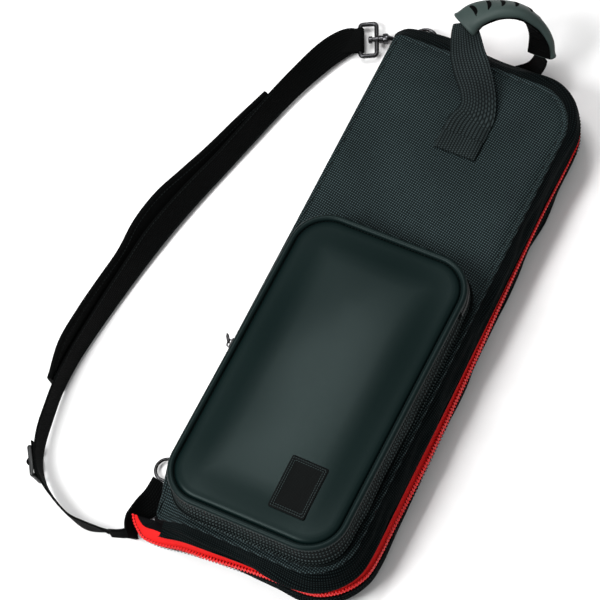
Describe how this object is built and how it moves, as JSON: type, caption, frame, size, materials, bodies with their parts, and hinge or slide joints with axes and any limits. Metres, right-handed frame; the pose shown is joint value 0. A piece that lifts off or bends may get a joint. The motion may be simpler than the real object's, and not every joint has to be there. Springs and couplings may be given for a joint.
{
  "type": "drum stick bag",
  "caption": "Flat zipped drum stick bag that opens like a book, with a padded front pocket, a looped carry handle and a padded shoulder strap on a swivel hook.",
  "frame": {"origin": "on the resting face of the back panel, at the middle of the panel between the spine and the zipped side's inner curve", "axes": "+X from the spine to the zipped side, +Y from the bottom to the handle, +Z from the back cover to the front cover"},
  "size_m": [0.3428, 0.5753, 0.0939],
  "materials": {
    "woven_nylon": "fine woven nylon, satin",
    "lining_fabric": "plain lining over foam board",
    "synthetic_leather": "smooth satin synthetic leather",
    "piping_rubber": "smooth satin cord piping",
    "grip_rubber": "moulded matte grip",
    "webbing": "ribbed webbing",
    "pad_fabric": "padded fabric",
    "red_tape": "woven zipper tape",
    "red_teeth": "moulded zipper teeth",
    "coil_plastic": "nylon coil",
    "dark_metal": "dark plated metal",
    "adjuster_plastic": "moulded"
  },
  "bodies": {
    "back_cover": {"back_panel": "woven_nylon", "back_gusset": "woven_nylon", "back_lining": "lining_fabric", "back_stick_pocket": "lining_fabric", "zipper_tape_back": "red_tape", "zipper_teeth_back": "red_teeth", "ring_tab_top": "webbing", "ring_tab_bottom": "webbing", "ring_bottom": "dark_metal", "handle_webbing_back": "webbing", "strap_webbing": "webbing", "strap_pad": "pad_fabric", "strap_adjuster": "adjuster_plastic", "strap_tail": "webbing", "hook_frame": "dark_metal"},
    "spine": {"spine_panel": "woven_nylon", "spine_lining": "lining_fabric", "handle_grip": "grip_rubber"},
    "front_cover": {"front_panel": "woven_nylon", "front_gusset": "woven_nylon", "front_lining": "lining_fabric", "front_stick_pocket": "lining_fabric", "zipper_tape_front": "red_tape", "zipper_teeth_front": "red_teeth", "handle_webbing_front": "webbing", "pocket_base_gusset": "woven_nylon", "pocket_coil": "coil_plastic", "pocket_fixed_band": "woven_nylon", "pocket_face_lower": "synthetic_leather", "pocket_piping_lower": "piping_rubber", "pocket_patch": "synthetic_leather"},
    "pocket_lid": {"pocket_face_upper": "synthetic_leather", "pocket_piping_upper": "piping_rubber", "pocket_lid_band": "woven_nylon"},
    "pocket_slider": {"pocket_slider": "dark_metal"},
    "pocket_pull": {"pocket_pull": "dark_metal"},
    "main_slider": {"main_slider": "dark_metal"},
    "main_pull": {"main_pull": "dark_metal"},
    "top_ring": {"ring_top": "dark_metal"},
    "hook": {"hook_body": "dark_metal"},
    "gate": {"hook_gate": "dark_metal"}
  },
  "joints": [
    {"name": "spine_fold", "type": "hinge", "parent": "back_cover", "child": "spine", "pos_m": [-0.094, 0, 0], "axis": [0, -1, 0], "range_deg": [0, 35]},
    {"name": "front_fold", "type": "hinge", "parent": "spine", "child": "front_cover", "pos_m": [-0.094, 0, 0.06], "axis": [0, -1, 0], "range_deg": [0, 70]},
    {"name": "pocket_lid_fold", "type": "hinge", "parent": "front_cover", "child": "pocket_lid", "pos_m": [-0.0025, -0.03, 0.0873], "axis": [0.8753, 0.4833, -0.0172], "range_deg": [0, 120]},
    {"name": "pocket_slider_slide", "type": "slide", "parent": "front_cover", "child": "pocket_slider", "axis": [0, 1, 0], "range_m": [0, 0.09]},
    {"name": "pocket_pull_swing", "type": "hinge", "parent": "pocket_slider", "child": "pocket_pull", "pos_m": [-0.0919, -0.084, 0.07365], "axis": [0, 0, 1], "range_deg": [-35, 130]},
    {"name": "main_slider_slide", "type": "slide", "parent": "back_cover", "child": "main_slider", "axis": [1, 0, 0], "range_m": [0, 0.034]},
    {"name": "main_pull_swing", "type": "hinge", "parent": "main_slider", "child": "main_pull", "pos_m": [-0.062, 0.2694, 0.03], "axis": [0, 0, 1], "range_deg": [-30, 110]},
    {"name": "ring_top_swing", "type": "hinge", "parent": "back_cover", "child": "top_ring", "pos_m": [-0.086, 0.271, 0.0075], "axis": [1, 0, 0], "range_deg": [-8, 15]},
    {"name": "hook_swivel", "type": "hinge", "parent": "back_cover", "child": "hook", "pos_m": [-0.12541, 0.26129, 0.0075], "axis": [0.8944, 0.4472, 0], "range_deg": [-15, 15]},
    {"name": "hook_gate_swing", "type": "hinge", "parent": "hook", "child": "gate", "pos_m": [-0.1111, 0.26845, 0.0127], "axis": [-0.4472, 0.8944, 0], "range_deg": [0, 25], "stiffness_Nm_per_rad": 0.01}
  ],
  "couplings": [
    {"joint": "spine_fold", "follows": "front_fold", "ratio": 0.5}
  ]
}
